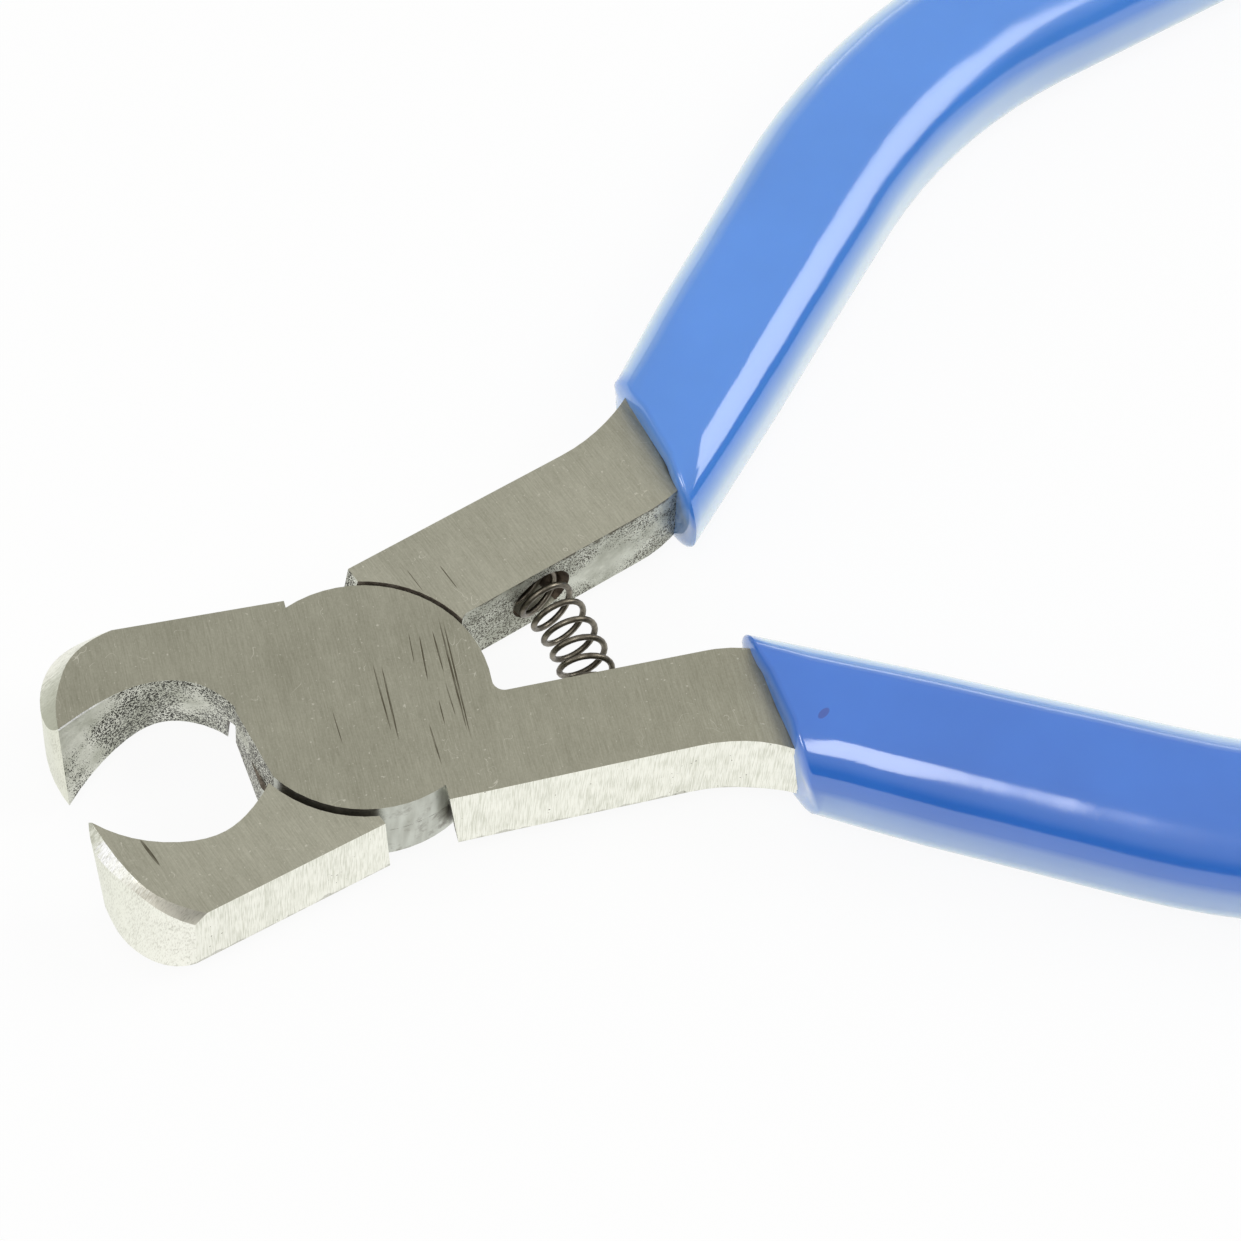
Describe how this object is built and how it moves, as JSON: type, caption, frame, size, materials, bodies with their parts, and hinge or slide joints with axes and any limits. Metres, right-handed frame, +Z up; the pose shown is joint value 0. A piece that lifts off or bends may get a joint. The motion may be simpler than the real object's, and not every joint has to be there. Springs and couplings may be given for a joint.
{
  "type": "side cutter",
  "caption": "Small spring-opened lap-joint nipper with bow-shaped jaws whose edges meet at the very end, bare ground steel, dipped plastic grips",
  "frame": {"origin": "on the pivot axis, in the plane of the lower ground face of the joint", "axes": "+X from the pivot towards the handles, along the line that halves the opening; +Y towards the upper-layer half's jaw side; +Z up, along the pivot, out of the upper ground face"},
  "size_m": [0.1094, 0.0803, 0.0081],
  "materials": {
    "ground_steel": "ground across the length, with as-forged inner walls",
    "rivet_steel": "ground flush with the joint faces",
    "spring_wire": "dark oiled wire",
    "grip_plastic": "smooth glossy dipped coat"
  },
  "bodies": {
    "upper_half": {"jaw_half_upper": "ground_steel", "pivot_rivet": "rivet_steel", "grip_upper_half": "grip_plastic", "return_spring": "spring_wire"},
    "lower_half": {"jaw_half_lower": "ground_steel", "grip_lower_half": "grip_plastic"}
  },
  "joints": [
    {"name": "pivot", "type": "hinge", "parent": "upper_half", "child": "lower_half", "pos_m": [0, 0, 0], "axis": [0, 0, 1], "range_deg": [-20.2, 0], "stiffness_Nm_per_rad": 0.178, "deforming": ["return_spring"]}
  ]
}
